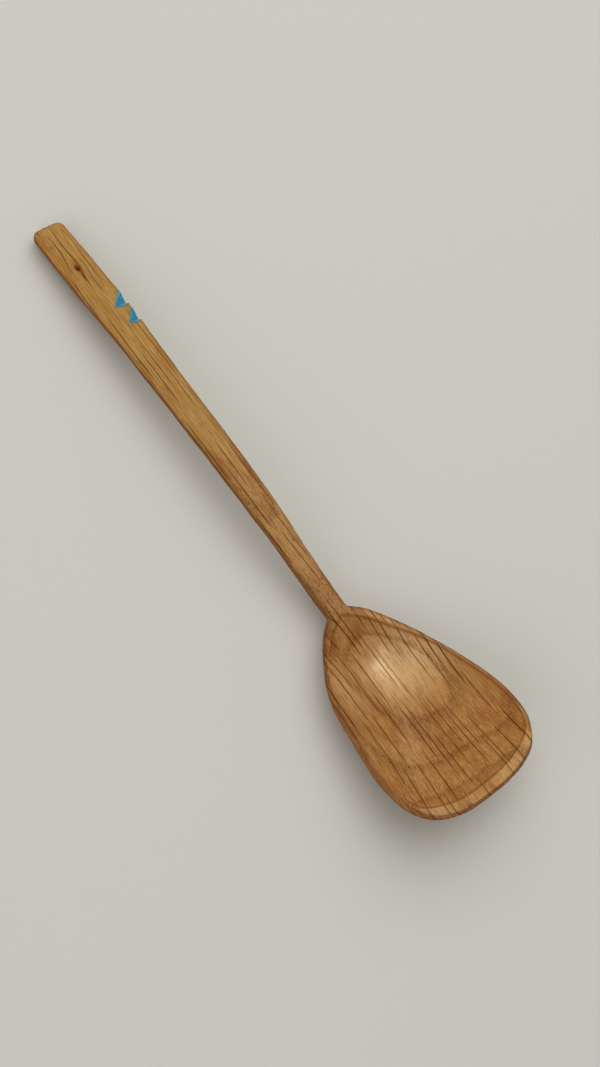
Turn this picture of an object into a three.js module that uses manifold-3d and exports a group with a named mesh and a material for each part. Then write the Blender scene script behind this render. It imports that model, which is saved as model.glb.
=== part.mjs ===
// A hand-carved wooden eating spoon of tablespoon size, with two painted chip cuts on the handle.
// Millimetres. X runs from the handle's end to the tip of the bowl, Y across, Z up.
// Right is +Y: the right hand of someone who has the bowl's tip towards them.
// The spoon lies as it rests on a table, on a flat under the bowl and a flat under the handle's end.
import * as THREE from 'three';
import { ConvexGeometry } from 'three/addons/geometries/ConvexGeometry.js';
import { mergeVertices } from 'three/addons/utils/BufferGeometryUtils.js';
import Module from 'manifold-3d';

const wasm = await Module();
wasm.setup();
const { clamp, lerp, smoothstep } = THREE.MathUtils;

// Lengths, along X.
const HANDLE_LENGTH = 141.4;      // handle's end to the shoulders of the bowl
const BOWL_LENGTH = 65.9;         // shoulders to the tip of the rim
const BOWL_WIDTH = 45;            // across the rim

// Side view: heights of the top line, the handle's first, over the table.
const END_HEIGHT = 5.8;
const REAR_ARCH_AT = 54;          // from the handle's end
const REAR_ARCH_HEIGHT = 12.8;
const FRONT_ARCH_AT = 104;        // from the handle's end
const FRONT_ARCH_HEIGHT = 14.6;
const NECK_HEIGHT = 10.8;
const MID_BOWL_AT = 32.5;         // from the shoulders
const MID_BOWL_HEIGHT = 14.8;
const TIP_HEIGHT = 23.9;

// Handle: widths and thicknesses from its end to the neck, each at its distance from the end.
const END_WIDTH = 10.1;
const GRIP_AT = 22;
const GRIP_WIDTH = 10.6;
const REAR_WIDTH = 9.5;
const FRONT_WIDTH = 8.3;
const WAIST_AT = 121;
const WAIST_WIDTH = 7;
const NECK_WIDTH = 6.5;
const END_THICKNESS = 6.3;
const REAR_THICKNESS = 6.3;
const FRONT_THICKNESS = 7.2;
const NECK_THICKNESS = 8.4;
const LEFT_CORNER = 2.8;          // corner radii of the handle's end, seen from above
const RIGHT_CORNER = 1.9;
const END_BEVEL = 0.6;            // worn edge round the handle's end face
const END_BEVEL_RUN = 1.2;        // how far that wear reaches along the handle
const END_SLANT = 1.3;            // how far the end face is out of square, over the width
const END_SLANT_RUN = 13.7;       // where the section is square again, from the end

// Knife facets along the handle: the top chamfers and the facets below the sides.
const FACETS_FROM = 41;           // from the handle's end to where the facets start to change
const FACETS_FULL_AT = 62;
const CHAMFER_END = 0.5;
const CHAMFER_MID = 2.2;
const CHAMFER_NECK = 1.5;
const CHAMFER_DROP_END = 0.45;
const CHAMFER_DROP_MID = 1.5;
const CHAMFER_DROP_NECK = 1.1;
const SIDE_END = 3;               // depth of the lower arris of the side
const SIDE_MID = 4.2;
const SIDE_NECK = 5.4;
const SOLE_END = 5.8;             // width of the facet along the underside
const SOLE_MID = 4.4;
const SOLE_NECK = 2.6;
const SIDE_LEAN = 0.15;           // how far the sides draw in, down to their lower arris
const LEAST_FACET = 0.3;          // the narrowest facet between two arrises

// Bowl: rim land, outer wall, hollow and back.
const RIM_TIP = 2.3;              // width of the flat land on the rim
const RIM_RIGHT = 0.9;
const RIM_LEFT = 0.15;
const RIM_RIGHT_SHOULDER = 2.5;
const RIM_LEFT_SHOULDER = 1.7;
const RIM_NECK = 2.3;
const RIM_STEP = 0.2;             // the handle's top stands this much over the rim
const FLARE_TIP = 1.3;            // spread of the outer wall below the rim
const FLARE_RIGHT = 0.6;
const FLARE_LEFT = 1.7;
const FLARE_SHOULDER = 0.5;
const NECK_BLEND = [0, 0.05];     // where the rim changes, in shares of the bowl's length
const LEFT_LAND_BLEND = [0.03, 0.22];
const SHOULDER_BLEND = [0.1, 0.4];
const TIP_BLEND = [0.86, 0.98];
const SIDE_BLEND = 3;             // half the width over which the left rim turns into the right
const WALL_HEIGHT = 2.4;          // height of that outer wall
const HOLLOW_DEPTH = 9;
const HOLLOW_DEEPEST_AT = 25;     // from the shoulders
const HOLLOW_DEEPEST_ACROSS = 4;  // to the right of the handle's middle
const HOLLOW_FULLNESS = 2.2;      // 2 is a parabola, over 2 the floor is flatter and the wall steeper
const HOLLOW_TIP_FULLNESS = 3;
const RAMP_AT = 1;                // from the shoulders to where the ramp into the hollow starts
const NECK_RAMP = 18;             // length of that ramp
const RAMP_ROLL = 1.3;            // 1 breaks sharply from the handle's top, more rolls over into the ramp
const BACK_DEPTH = 11;            // from the foot of the outer wall to the bottom
const BACK_DEEPEST_AT = 27;
const BACK_DEEPEST_ACROSS = 2;
const BACK_FULLNESS = 2.3;
const KEEL_RUN = 15;              // how far the handle's keel runs out under the bowl
const KEEL_TAPER = 0.5;           // share of its width that the keel loses on the way
const KEEL_FALL = 0.1;            // slope of its underside
const KEEL_DIVE = 0.3;            // slope of its top, below the rim

// Chip cuts on the right edge of the handle, measured at the valley of each cut.
const UPPER_CUT_AT = 33.2;
const LOWER_CUT_AT = 39.5;
const UPPER_CUT_REACH = 4.6;      // in from the edge, across the top
const LOWER_CUT_REACH = 3.9;
const CUT_DEPTH = 3.0;            // below the top, at the edge
const CUT_SLICE = 4.4;            // from the valley back to where the slicing cut starts
const CUT_STOP = 1.4;             // from the valley on to where the stop cut starts
const CUT_BEYOND = { top: 0.5, side: 0.6, slice: 2.6, stop: 4 };  // cutter's spare reach, in edge lengths
const PAINT_COAT = 0.3;
const PAINT_CLEARANCE = 0.04;

// Pin knot in the top of the handle.
const KNOT_AT = 16.5;
const KNOT_OFFSET = -0.3;         // across, from the middle
const KNOT_LENGTH = 2.8;
const KNOT_WIDTH = 1.8;
const KNOT_DEPTH = 2.2;
const KNOT_TAPER = 0.2;           // share of its width that the knot loses over its depth
const KNOT_CLEARANCE = 0.05;

// Fineness of the lofts.
const ROUND_STEPS = 108;
const HANDLE_STEP = 3;
const CORNER_STEPS = 5;
const HOLLOW_STEPS = 20;
const BACK_STEPS = 9;
const LID_STEPS = 3;
const RIM_CROWDING = 0.5;         // 0 spaces the contours evenly, 1 crowds them to the rim
const KNOT_SIDES = 10;

const handleEnd = -HANDLE_LENGTH;

// A smooth curve through [position, value] pairs, with each slope taken from the neighbours.
function through(knots) {
  const slope = knots.map((k, i) => {
    const a = knots[Math.max(i - 1, 0)];
    const b = knots[Math.min(i + 1, knots.length - 1)];
    return (b[1] - a[1]) / (b[0] - a[0]);
  });
  return (x) => {
    const first = knots[0];
    const last = knots[knots.length - 1];
    if (x <= first[0]) return first[1] + slope[0] * (x - first[0]);
    if (x >= last[0]) return last[1] + slope[knots.length - 1] * (x - last[0]);
    const i = knots.findIndex((k) => k[0] > x) - 1;
    const [x0, y0] = knots[i];
    const [x1, y1] = knots[i + 1];
    const w = x1 - x0;
    const t = (x - x0) / w;
    const rise = y0 * (1 + 2 * t) * (1 - t) ** 2 + y1 * t * t * (3 - 2 * t);
    return rise + w * (slope[i] * t * (1 - t) ** 2 - slope[i + 1] * t * t * (1 - t));
  };
}

const topLine = through([
  [handleEnd, END_HEIGHT],
  [handleEnd + REAR_ARCH_AT, REAR_ARCH_HEIGHT],
  [handleEnd + FRONT_ARCH_AT, FRONT_ARCH_HEIGHT],
  [0, NECK_HEIGHT],
  [MID_BOWL_AT, MID_BOWL_HEIGHT],
  [BOWL_LENGTH, TIP_HEIGHT],
]);
const handleWidth = through([
  [handleEnd, END_WIDTH],
  [handleEnd + GRIP_AT, GRIP_WIDTH],
  [handleEnd + REAR_ARCH_AT, REAR_WIDTH],
  [handleEnd + FRONT_ARCH_AT, FRONT_WIDTH],
  [handleEnd + WAIST_AT, WAIST_WIDTH],
  [0, NECK_WIDTH],
]);
const thickness = through([
  [handleEnd, END_THICKNESS],
  [handleEnd + REAR_ARCH_AT, REAR_THICKNESS],
  [handleEnd + FRONT_ARCH_AT, FRONT_THICKNESS],
  [0, NECK_THICKNESS],
]);
const alongHandle = (atEnd, atMiddle, atNeck) => through([
  [handleEnd, atEnd],
  [handleEnd + FACETS_FROM, atEnd],
  [handleEnd + FACETS_FULL_AT, atMiddle],
  [0, atNeck],
]);
const chamfer = alongHandle(CHAMFER_END, CHAMFER_MID, CHAMFER_NECK);
const chamferDrop = alongHandle(CHAMFER_DROP_END, CHAMFER_DROP_MID, CHAMFER_DROP_NECK);
const sideDepth = alongHandle(SIDE_END, SIDE_MID, SIDE_NECK);
const soleWidth = alongHandle(SOLE_END, SOLE_MID, SOLE_NECK);

const middleOf = (points) => {
  const sum = points.reduce((s, p) => s.add(p), new THREE.Vector3());
  return sum.multiplyScalar(1 / points.length);
};

// A closed skin over rings of equal count, from a first pole or ring to a last one.
function loft(rings) {
  const count = Math.max(...rings.map((r) => r.length));
  const position = [];
  const start = rings.map((ring) => {
    const at = position.length / 3;
    ring.forEach((p) => position.push(p.x, p.y, p.z));
    return at;
  });
  const index = [];
  const at = (r, j) => start[r] + (rings[r].length === 1 ? 0 : j % count);
  const full = rings.find((ring) => ring.length === count);
  const along = middleOf(rings[rings.length - 1]).sub(middleOf(rings[0]));
  const turn = new THREE.Vector3();
  full.forEach((p, j) => turn.add(p.clone().cross(full[(j + 1) % count])));
  const outward = turn.dot(along) > 0;
  for (let r = 0; r + 1 < rings.length; r++) {
    for (let j = 0; j < count; j++) {
      const [a, b] = [at(r, j), at(r, j + 1)];
      const [c, d] = [at(r + 1, j), at(r + 1, j + 1)];
      if (a !== b) index.push(...(outward ? [a, b, d] : [a, d, b]));
      if (c !== d) index.push(...(outward ? [a, d, c] : [a, c, d]));
    }
  }
  const geometry = new THREE.BufferGeometry();
  geometry.setAttribute('position', new THREE.Float32BufferAttribute(position, 3));
  geometry.setIndex(index);
  return geometry;
}

function solid(geometry) {
  const bare = geometry.clone();
  bare.deleteAttribute('normal');
  bare.deleteAttribute('uv');
  const merged = mergeVertices(bare);
  return new wasm.Manifold(new wasm.Mesh({
    numProp: 3,
    vertProperties: new Float32Array(merged.attributes.position.array),
    triVerts: new Uint32Array(merged.index.array),
  }));
}

function geometryOf(body) {
  const mesh = body.getMesh();
  const geometry = new THREE.BufferGeometry();
  geometry.setAttribute('position', new THREE.BufferAttribute(mesh.vertProperties, 3));
  geometry.setIndex(new THREE.BufferAttribute(mesh.triVerts, 1));
  geometry.computeVertexNormals();
  return geometry;
}

// The eight-sided section of the handle at x, its corners in order round the section.
function handleSection(x) {
  const fromEnd = x - handleEnd;
  const cut = (radius) => {
    const d = Math.max(radius - fromEnd, 0);
    return radius - Math.sqrt(Math.max(radius * radius - d * d, 0));
  };
  const worn = END_BEVEL * (1 - smoothstep(fromEnd, 0, END_BEVEL_RUN));
  const taper = 1 - KEEL_TAPER * smoothstep(x, 0, KEEL_RUN);
  const along = Math.min(x, 0);
  const half = (handleWidth(along) / 2) * taper;
  const right = half - cut(RIGHT_CORNER);
  const left = half - cut(LEFT_CORNER);
  const top = topLine(x) - worn - KEEL_DIVE * Math.max(x - RIM_NECK, 0);
  const bottom = topLine(along) - thickness(along) + worn / 2 - KEEL_FALL * Math.max(x, 0);
  const upper = top - chamferDrop(along);
  const lower = Math.max(topLine(along) - sideDepth(along), bottom + LEAST_FACET);
  const flat = chamfer(along) * taper;
  const sole = (soleWidth(along) / 2) * taper;
  const soleRight = Math.min(sole, right - LEAST_FACET);
  const soleLeft = Math.min(sole, left - LEAST_FACET);
  const slant = (END_SLANT / END_WIDTH) * (1 - smoothstep(fromEnd, 0, END_SLANT_RUN));
  return [
    [right - flat, top], [-left + flat, top], [-left, upper], [-left + SIDE_LEAN, lower],
    [-soleLeft, bottom], [soleRight, bottom], [right - SIDE_LEAN, lower], [right, upper],
  ].map(([y, z]) => new THREE.Vector3(x + slant * y, y, z));
}

function handleBody() {
  const stations = [];
  const corner = Math.max(LEFT_CORNER, RIGHT_CORNER);
  for (let i = 0; i <= CORNER_STEPS; i++) {
    stations.push(handleEnd + corner * (1 - Math.cos((Math.PI / 2) * (i / CORNER_STEPS))));
  }
  const run = KEEL_RUN - handleEnd - corner;
  const steps = Math.ceil(run / HANDLE_STEP);
  for (let i = 1; i <= steps; i++) stations.push(handleEnd + corner + (run * i) / steps);
  const rings = stations.map(handleSection);
  const ends = [[middleOf(rings[0])], [middleOf(rings[rings.length - 1])]];
  return solid(loft([ends[0], ...rings, ends[1]]));
}

// The rim seen from above: u along the bowl from the shoulders, v across in half widths.
const RIM_OUTLINE = [
  [-0.014, 0], [0.012, 0.14], [0.075, 0.33], [0.25, 0.63], [0.43, 0.855], [0.6, 1.01],
  [0.74, 1.065], [0.86, 1.0], [0.945, 0.79], [0.99, 0.42], [1, 0], [0.99, -0.42],
  [0.943, -0.712], [0.86, -0.872], [0.72, -0.925], [0.5, -0.845], [0.25, -0.685],
  [0.075, -0.37], [0.012, -0.15],
];
const rimCurve = new THREE.CatmullRomCurve3(
  RIM_OUTLINE.map(([u, v]) => new THREE.Vector3(u * BOWL_LENGTH, (v * BOWL_WIDTH) / 2, 0)),
  true,
  'centripetal',
);

// Each point of the rim with its outward direction, the land inside it and the flare outside it.
const rim = rimCurve.getSpacedPoints(ROUND_STEPS).slice(0, ROUND_STEPS).map((point, i) => {
  const tangent = rimCurve.getTangentAt(i / ROUND_STEPS);
  const out = new THREE.Vector3(-tangent.y, tangent.x, 0).normalize();
  const u = point.x / BOWL_LENGTH;
  const side = smoothstep(point.y, -SIDE_BLEND, SIDE_BLEND);
  const pastShoulder = smoothstep(u, ...SHOULDER_BLEND);
  const toTip = (left, right, tip) => lerp(lerp(left, right, side), tip, smoothstep(u, ...TIP_BLEND));
  const landLeft = lerp(RIM_LEFT_SHOULDER, RIM_LEFT, smoothstep(u, ...LEFT_LAND_BLEND));
  const landRight = lerp(RIM_RIGHT_SHOULDER, RIM_RIGHT, pastShoulder);
  const land = lerp(RIM_NECK, toTip(landLeft, landRight, RIM_TIP), smoothstep(u, ...NECK_BLEND));
  const flare = lerp(FLARE_SHOULDER, toTip(FLARE_LEFT, FLARE_RIGHT, FLARE_TIP), pastShoulder);
  return { point, out, land, flare };
});
if (THREE.ShapeUtils.area(rim.map((r) => r.point)) > 0) rim.forEach((r) => r.out.negate());

const rimTop = (x) => topLine(x) - RIM_STEP;

// One contour of the bowl: the rim drawn in by a share, rounding to an oval towards the deepest point.
function contour(offset, share, deepest, height) {
  const full = rim.map((r) => r.point.clone().addScaledVector(r.out, offset(r)));
  const half = Math.max(...full.map((p) => Math.abs(p.y - deepest.y)));
  const fore = Math.max(...full.map((p) => p.x)) - deepest.x;
  return full.map((p) => {
    const way = new THREE.Vector2(p.x - deepest.x, p.y - deepest.y);
    const oval = 1 / Math.hypot(way.x / fore, way.y / half);
    const reach = share * lerp(Math.min(oval, 1), 1, share * share);
    const [x, y] = [deepest.x + way.x * reach, deepest.y + way.y * reach];
    return new THREE.Vector3(x, y, height(x, y));
  });
}

// Where an outline crosses a line at a value of one coordinate, given in the other coordinate.
function crossings(outline, key, value, other) {
  return outline.flatMap((p, i) => {
    const q = outline[(i + 1) % outline.length];
    const [from, to] = [p[key] - value, q[key] - value];
    if (from * to > 0 || from === to) return [];
    return [lerp(p[other], q[other], from / (from - to))];
  });
}

// The lesser of two shares, with a round turn where one takes over from the other.
const softLeast = (a, b) => (a * b > 0 ? (a * b) / Math.sqrt(a * a + b * b - a * a * b * b) : 0);

// A dish inside an outline, as a share of its depth: 0 on the outline and 1 at the deepest point.
// Each section across is a trough, and its floor line rises to the tip and by rear(x) to the neck.
function dish(offset, deepest, fullness, tipFullness, rear) {
  const outline = rim.map((r) => r.point.clone().addScaledVector(r.out, offset(r)));
  return (x, y) => {
    const sides = crossings(outline, 'x', x, 'y');
    const floorLine = deepest.y * smoothstep(x, 0, deepest.x);
    const wall = y < floorLine ? Math.min(...sides) : Math.max(...sides);
    const across = sides.length && wall !== floorLine ? (y - floorLine) / (wall - floorLine) : 0;
    const tip = Math.max(...crossings(outline, 'y', y, 'x'), deepest.x);
    const fore = x > deepest.x ? (x - deepest.x) / Math.max(tip - deepest.x, x - deepest.x) : 0;
    const trough = 1 - Math.min(Math.abs(across), 1) ** fullness;
    return softLeast(trough, 1 - fore ** tipFullness) * rear(x);
  };
}
const hollowBottom = new THREE.Vector2(HOLLOW_DEEPEST_AT, HOLLOW_DEEPEST_ACROSS);
const backBottom = new THREE.Vector2(BACK_DEEPEST_AT, BACK_DEEPEST_ACROSS);

// Shares from the deepest point out to the rim, closer together towards the rim.
const shares = (steps) => Array.from({ length: steps }, (_, i) => {
  const part = (i + 1) / steps;
  return lerp(part, Math.sin((Math.PI / 2) * part), RIM_CROWDING);
});

function bowlBlank() {
  const flare = (r) => r.flare;
  const depth = dish(flare, backBottom, BACK_FULLNESS, BACK_FULLNESS, (x) => (
    1 - Math.max(1 - x / BACK_DEEPEST_AT, 0) ** BACK_FULLNESS
  ));
  const back = (share) => contour(flare, share, backBottom, (x, y) => (
    rimTop(x) - WALL_HEIGHT - BACK_DEPTH * Math.max(depth(x, y), 0)
  ));
  const edge = contour(() => 0, 1, backBottom, rimTop);
  const lid = (share) => contour((r) => -r.land, share, hollowBottom, rimTop);
  return solid(loft([
    [middleOf(back(0))],
    ...shares(BACK_STEPS).map(back),
    edge,
    ...shares(LID_STEPS).reverse().map(lid),
    [middleOf(lid(0))],
  ]));
}

function hollowCut() {
  const land = (r) => -r.land;
  const ramp = (x) => 1 - (1 - clamp((x - RAMP_AT) / NECK_RAMP, 0, 1) ** RAMP_ROLL) ** 2;
  const depth = dish(land, hollowBottom, HOLLOW_FULLNESS, HOLLOW_TIP_FULLNESS, ramp);
  const floor = (share) => contour(land, share, hollowBottom, (x, y) => (
    topLine(x) - HOLLOW_DEPTH * depth(x, y)
  ));
  const above = (share) => contour(land, share, hollowBottom, (x) => topLine(x) + WALL_HEIGHT);
  return solid(loft([
    [middleOf(floor(0))],
    ...shares(HOLLOW_STEPS).map(floor),
    above(1),
    [middleOf(above(0))],
  ]));
}

// A chip cut is a wedge: a long slicing face and a short stop face that meet in a valley.
// The valley runs from a point on the handle's top out and down to the right side.
function cutWedge(at, reach) {
  const x = handleEnd + at;
  const edge = handleWidth(x) / 2;
  const start = new THREE.Vector3(x, edge - reach, topLine(x));
  const foot = new THREE.Vector3(x, edge, topLine(x) - CUT_DEPTH);
  const brink = (dx) => new THREE.Vector3(x + dx, edge, topLine(x + dx));
  const slice = brink(-CUT_SLICE).sub(foot);
  const stop = brink(CUT_STOP).sub(foot);
  const valley = foot.clone().sub(start);
  const near = start.clone().addScaledVector(valley, -CUT_BEYOND.top);
  const far = foot.clone().addScaledVector(valley, CUT_BEYOND.side);
  const corners = [near, far].flatMap((p) => [
    p,
    p.clone().addScaledVector(slice, CUT_BEYOND.slice),
    p.clone().addScaledVector(stop, CUT_BEYOND.stop),
  ]);
  const sliceNormal = valley.clone().cross(slice).normalize();
  if (sliceNormal.dot(stop) < 0) sliceNormal.negate();
  const stopNormal = stop.clone().cross(valley).normalize();
  if (stopNormal.dot(slice) < 0) stopNormal.negate();
  const lean = sliceNormal.dot(stopNormal);
  const inward = sliceNormal.clone().add(stopNormal).multiplyScalar(1 / (1 + lean));
  return (raised) => {
    const shift = inward.clone().multiplyScalar(raised);
    return solid(new ConvexGeometry(corners.map((p) => p.clone().add(shift))));
  };
}

function knotPlug(grow) {
  const plug = new THREE.CylinderGeometry(0.5 + KNOT_TAPER / 2, 0.5 - KNOT_TAPER / 2, 1, KNOT_SIDES);
  plug.rotateX(Math.PI / 2);
  plug.scale(KNOT_LENGTH + 2 * grow, KNOT_WIDTH + 2 * grow, 2 * (KNOT_DEPTH + grow));
  const x = handleEnd + KNOT_AT;
  plug.translate(x, KNOT_OFFSET, topLine(x));
  return solid(plug);
}

const table = solid(new THREE.BoxGeometry(4 * HANDLE_LENGTH, 4 * BOWL_WIDTH, 2 * BACK_DEPTH)
  .translate(0, 0, -BACK_DEPTH));
const handle = handleBody();
const upperCut = cutWedge(UPPER_CUT_AT, UPPER_CUT_REACH);
const lowerCut = cutWedge(LOWER_CUT_AT, LOWER_CUT_REACH);
const coat = (cut) => handle.intersect(cut(PAINT_CLEARANCE)).subtract(cut(PAINT_CLEARANCE + PAINT_COAT));

const spoon = bowlBlank()
  .add(handle)
  .subtract(hollowCut())
  .subtract(table)
  .subtract(upperCut(0))
  .subtract(lowerCut(0))
  .subtract(knotPlug(KNOT_CLEARANCE));
const knot = handle.intersect(knotPlug(0));

const wood = new THREE.MeshStandardMaterial({ color: 0xa6763f, roughness: 0.42, metalness: 0 });
const paint = new THREE.MeshStandardMaterial({ color: 0x2f7ea3, roughness: 0.6, metalness: 0 });
const knotWood = new THREE.MeshStandardMaterial({ color: 0x5b3018, roughness: 0.5, metalness: 0 });

const group = new THREE.Group();
const piece = (name, body, material) => {
  const mesh = new THREE.Mesh(geometryOf(body), material);
  mesh.name = name;
  group.add(mesh);
};
piece('carved_spoon', spoon, wood);
piece('upper_notch_paint', coat(upperCut), paint);
piece('lower_notch_paint', coat(lowerCut), paint);
piece('pin_knot', knot, knotWood);

// The origin goes under the middle of the spoon, on the table.
const middle = new THREE.Box3().setFromObject(group).getCenter(new THREE.Vector3());
group.position.set(-middle.x, -middle.y, 0);

export default group;
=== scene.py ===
# %% [markdown]
# # A hand-carved oak tablespoon
# The spoon is one piece of oak: a slim faceted handle, a neck, and an egg-shaped bowl with a squared
# tip. Two chip cuts on the handle's edge are painted blue, and a pin knot sits near the handle's end.
# The frame already holds every form at its real size. This lesson gives the forms their surface: worn
# arrises, uneven knife cuts, oak with its rings, rays and pores, oil, and thin brushed paint.

# %% Load the frame
import math
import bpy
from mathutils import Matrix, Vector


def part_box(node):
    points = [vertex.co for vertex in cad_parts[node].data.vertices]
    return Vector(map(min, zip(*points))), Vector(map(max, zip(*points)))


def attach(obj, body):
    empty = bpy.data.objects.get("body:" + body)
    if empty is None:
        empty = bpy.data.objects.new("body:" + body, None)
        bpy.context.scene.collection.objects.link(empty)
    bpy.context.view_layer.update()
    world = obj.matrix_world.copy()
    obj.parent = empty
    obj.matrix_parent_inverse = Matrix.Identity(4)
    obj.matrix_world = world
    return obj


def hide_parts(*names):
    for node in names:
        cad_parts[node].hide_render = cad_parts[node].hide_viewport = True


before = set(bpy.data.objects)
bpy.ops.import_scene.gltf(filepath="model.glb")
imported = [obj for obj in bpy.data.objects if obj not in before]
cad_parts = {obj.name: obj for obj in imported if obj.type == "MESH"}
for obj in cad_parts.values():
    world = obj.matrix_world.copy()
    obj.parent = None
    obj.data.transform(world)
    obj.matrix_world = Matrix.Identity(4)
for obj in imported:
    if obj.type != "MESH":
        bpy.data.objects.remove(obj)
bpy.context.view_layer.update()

from types import SimpleNamespace

import bpy
import numpy as np
from mathutils import Matrix, Vector, kdtree

MM = 0.001
print("nodes:", sorted(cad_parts))

# %% [markdown]
# ## The camera
# The spoon is seen from above, tipped a little towards one edge, and it lies slantwise in a tall frame.
# A camera could be turned by Euler angles until it fits. It is easier to read if its three directions
# are written down: where it looks back from, and how far the frame is rolled about that line. Left and
# right are meant as the camera shows them, with the tip down: left is the side where Y is negative.

# %% Place the camera
LENS = 70.0
SENSOR = 36.0
CLIP_START = 0.01
CAMERA_DISTANCE = 591.2 * MM
CAMERA_TARGET = Vector((13.39, 3.71, 10.0)) * MM
LEAN_ALONG = math.radians(6)
LEAN_ACROSS = math.radians(17)
FRAME_ROLL = math.radians(-53.12)


def camera_directions():
    """Right, up and back of the camera, as unit vectors."""
    back = Vector((math.sin(LEAN_ALONG), -math.sin(LEAN_ACROSS), 0))
    back.z = math.sqrt(1 - back.length_squared)
    along = Vector((1, 0, 0))
    along = (along - along.dot(back) * back).normalized()
    across = back.cross(along)
    right = math.cos(FRAME_ROLL) * along - math.sin(FRAME_ROLL) * across
    up = math.sin(FRAME_ROLL) * along + math.cos(FRAME_ROLL) * across
    return right, up, back


RIGHT, UP, BACK = camera_directions()
bpy.ops.object.camera_add()
camera = bpy.context.active_object
camera.data.lens = LENS
camera.data.sensor_width = SENSOR
camera.data.clip_start = CLIP_START
camera.matrix_world = (
    Matrix.Translation(CAMERA_TARGET + BACK * CAMERA_DISTANCE)
    @ Matrix((RIGHT, UP, BACK)).transposed().to_4x4()
)
bpy.context.scene.camera = camera
print("camera at mm:", [round(v / MM) for v in camera.matrix_world.translation])

# %% [markdown]
# ## A copy to work on
# Bowl, neck and handle are one carving. The frame's own mesh must stay as it is, and it is made of
# loose triangles, which no smoothing can cross. So the work is done on a copy, and merging the corners
# that share a place sews its triangles together.

# %% Sew a copy of the carved solid
SEW_DISTANCE = 0.002 * MM


def pick_only(*pieces):
    """Deselects everything else and makes the first piece the active one."""
    bpy.ops.object.select_all(action="DESELECT")
    for piece in pieces:
        piece.select_set(True)
    bpy.context.view_layer.objects.active = pieces[0]


def add_object(name, mesh):
    """A new object in the scene, with its place in its mesh."""
    piece = bpy.data.objects.new(name, mesh)
    bpy.context.scene.collection.objects.link(piece)
    return piece


def sewn_copy(node, name):
    """A new object with a copy of a node's mesh, its loose triangles sewn together."""
    piece = add_object(name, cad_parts[node].data.copy())
    pick_only(piece)
    bpy.ops.object.mode_set(mode="EDIT")
    bpy.ops.mesh.select_all(action="SELECT")
    bpy.ops.mesh.remove_doubles(threshold=SEW_DISTANCE)
    bpy.ops.object.mode_set(mode="OBJECT")
    return piece


spoon = sewn_copy("carved_spoon", "oak_spoon")
print("sewn spoon:", len(spoon.data.polygons), "faces")

# %% [markdown]
# ## Where the arrises are
# An arris is the line where two knife cuts meet. The arrises give the handle its facets and the rim its
# clear edge, so later steps must know where they run. They could be marked edge by edge. Blender's
# search for sharp edges finds them all at once, and points along them can be measured from.

# %% Find the arrises
ARRIS_ANGLE = math.radians(15)
ARRIS_STEP = 0.4 * MM


def arris_points(piece):
    """Points along every sharp edge of the piece, a small step apart."""
    bpy.ops.object.mode_set(mode="EDIT")
    bpy.ops.mesh.select_mode(type="EDGE")
    bpy.ops.mesh.select_all(action="DESELECT")
    bpy.ops.mesh.edges_select_sharp(sharpness=ARRIS_ANGLE)
    bpy.ops.object.mode_set(mode="OBJECT")
    points = []
    for edge in piece.data.edges:
        if edge.select:
            start, end = (piece.data.vertices[i].co for i in edge.vertices)
            steps = max(1, round((end - start).length / ARRIS_STEP))
            points += [start.lerp(end, i / steps) for i in range(steps + 1)]
    return points


arrises = arris_points(spoon)
print("arris points:", len(arrises))

# %% [markdown]
# ## An even skin
# The solid has long thin faces, too coarse for fine wear. Subdividing them would keep their bad shapes.
# A voxel remesh gives small even faces everywhere, but it leaves steps along the arrises. So the new
# skin is blown up a little, smoothed, and shrunk back onto the carving, which it then fits closely.
# The knot is joined in first and cut out again later, so that its seat comes out crisp.

# %% Lay an even skin over it
SKIN_VOXEL = 0.38 * MM
SKIN_SLACK = 0.3 * MM
SLACK_PASSES = 6
SMOOTH_PULL = 0.5


def apply_modifier(piece, kind, **settings):
    """Adds a modifier with its settings and applies it."""
    pick_only(piece)
    made = piece.modifiers.new(kind.lower(), kind)
    for name, value in settings.items():
        setattr(made, name, value)
    bpy.ops.object.modifier_apply(modifier=made.name)


pick_only(spoon, sewn_copy("pin_knot", "knot_filler"))
bpy.ops.object.join()
carved = add_object("carved", spoon.data.copy())
apply_modifier(spoon, "REMESH", mode="VOXEL", voxel_size=SKIN_VOXEL)
apply_modifier(spoon, "DISPLACE", strength=SKIN_SLACK, mid_level=0.0)
apply_modifier(spoon, "SMOOTH", factor=SMOOTH_PULL, iterations=SLACK_PASSES)
apply_modifier(spoon, "SHRINKWRAP", target=carved, wrap_method="NEAREST_SURFACEPOINT")
bpy.data.objects.remove(carved)
print("skin:", 2 * len(spoon.data.polygons), "triangles")

# %% [markdown]
# ## Smooth faces, worn arrises
# A sharp knife leaves smooth faces and crisp arrises, and use and oil wear the arrises a little. Bevels
# would need a clean mesh of quads. Here the skin is smoothed by weight: fully on the faces, and only a
# little near an arris, which takes off its sharpness and keeps its line.

# %% Smooth the faces, not the arrises
ARRIS_KEPT = 0.6 * MM
ARRIS_FADE = 2.5 * MM
ARRIS_WEAR = 0.12
FACE_PASSES = 40


def distance_to(points, piece):
    """How far each vertex of the piece is from the nearest of some points."""
    tree = kdtree.KDTree(len(points))
    for i, point in enumerate(points):
        tree.insert(point, i)
    tree.balance()
    return np.array([tree.find(v.co)[2] for v in piece.data.vertices])


def weigh(piece, name, weights):
    """A vertex group from one number per vertex."""
    group = piece.vertex_groups.new(name=name)
    for i, weight in enumerate(weights):
        group.add([i], float(weight), "REPLACE")
    return group.name


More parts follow.
